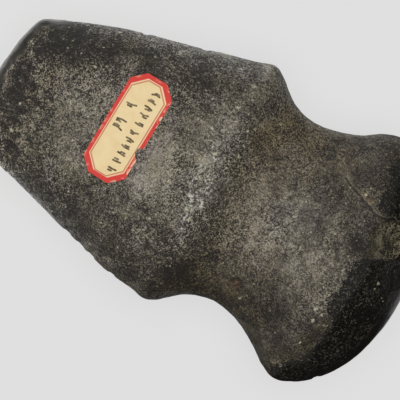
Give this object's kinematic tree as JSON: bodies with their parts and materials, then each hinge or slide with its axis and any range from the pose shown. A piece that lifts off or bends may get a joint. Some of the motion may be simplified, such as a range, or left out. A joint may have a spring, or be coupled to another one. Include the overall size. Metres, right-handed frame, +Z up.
{
  "type": "full-grooved stone axe head",
  "caption": "Heavy stone axe head lying flat, with a tapered blade, a rounded bit, a groove all the way round for a handle and a domed poll, and a paper label on its upper face.",
  "frame": {"origin": "centre of the head's box in X and Y, on the surface that it lies on", "axes": "+X along the head from the bit to the poll, +Y across it, +Z up through its thickness, with the label on top"},
  "size_m": [0.1552, 0.092, 0.0544],
  "materials": {
    "stone": "satin",
    "label_paper": "matte"
  },
  "bodies": {
    "root": {"stone_axe_head": "stone", "collection_label": "label_paper"}
  },
  "joints": []
}
